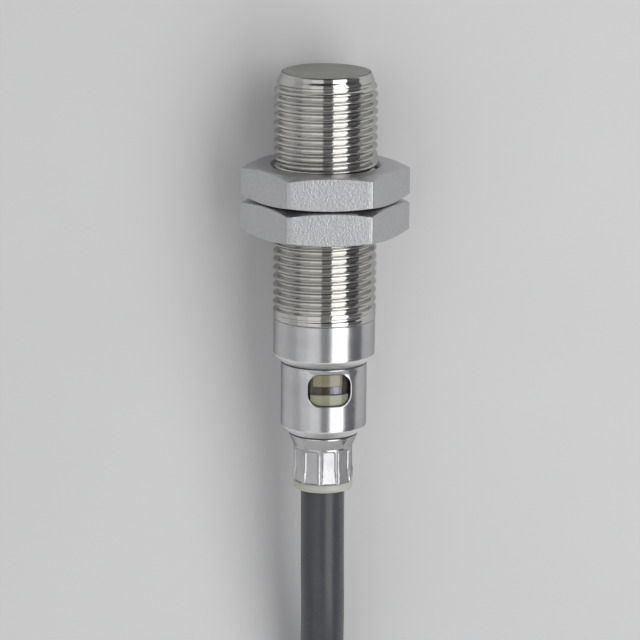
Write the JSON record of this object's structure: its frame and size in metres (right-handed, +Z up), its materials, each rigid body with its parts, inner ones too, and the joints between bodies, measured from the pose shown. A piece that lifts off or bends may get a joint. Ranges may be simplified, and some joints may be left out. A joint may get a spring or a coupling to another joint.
{
  "type": "inductive proximity sensor",
  "caption": "Cylindrical threaded metal proximity sensor with hexagon lock nuts, an indicator window and a fixed cable in a tied hank.",
  "frame": {"origin": "on the surface the sensor lies on, under the middle of its body; the cable is left out of that middle", "axes": "+X along the sensor's axis towards the sensing face, +Z up"},
  "size_m": [0.1977, 0.0474, 0.0324],
  "materials": {
    "turned_steel": "fine turned",
    "nut_steel": "tumbled matt",
    "satin_steel": "satin",
    "light_ring": "translucent",
    "black_rubber": "matt",
    "seal": "satin",
    "black_plastic": "matt",
    "ferrite": "matt",
    "cream_plastic": "matt",
    "copper": "enamelled",
    "board": "satin",
    "ceramic": "matt",
    "led": "clear",
    "foil": "satin",
    "resin": "satin",
    "core_brown": "satin",
    "core_black": "satin",
    "core_blue": "satin",
    "cable_jacket": "matt",
    "tinned_copper": "satin",
    "tie": "satin"
  },
  "bodies": {
    "root": {"threaded_housing": "turned_steel", "rear_shell": "satin_steel", "light_ring": "light_ring", "housing_o_ring": "black_rubber", "cable_seal": "seal", "coil_cup": "black_plastic", "ferrite_core": "ferrite", "coil_bobbin": "cream_plastic", "coil_winding": "copper", "coil_leads": "copper", "core_holder": "cream_plastic", "circuit_board": "board", "sensor_chip": "black_plastic", "output_driver": "black_plastic", "voltage_regulator": "black_plastic", "capacitors": "ceramic", "resistors": "black_plastic", "status_led": "led", "screening_foil": "foil", "potting_resin": "resin", "inner_core_brown": "core_brown", "inner_core_black": "core_black", "inner_core_blue": "core_blue", "cable_entry": "cable_jacket", "cable_run": "cable_jacket", "cable_hank": "cable_jacket", "cable_tail": "cable_jacket", "tail_core_brown": "core_brown", "tail_core_black": "core_black", "tail_core_blue": "core_blue", "core_ferrules": "tinned_copper", "hank_tie_front": "tie", "hank_tie_rear": "tie"},
    "front_nut": {"front_nut": "nut_steel"},
    "rear_nut": {"rear_nut": "nut_steel"}
  },
  "joints": [
    {"name": "front_nut_travel", "type": "slide", "parent": "root", "child": "front_nut", "axis": [1, 0, 0], "range_m": [0, 0.0098]},
    {"name": "rear_nut_travel", "type": "slide", "parent": "root", "child": "rear_nut", "axis": [-1, 0, 0], "range_m": [0, 0.009]}
  ]
}
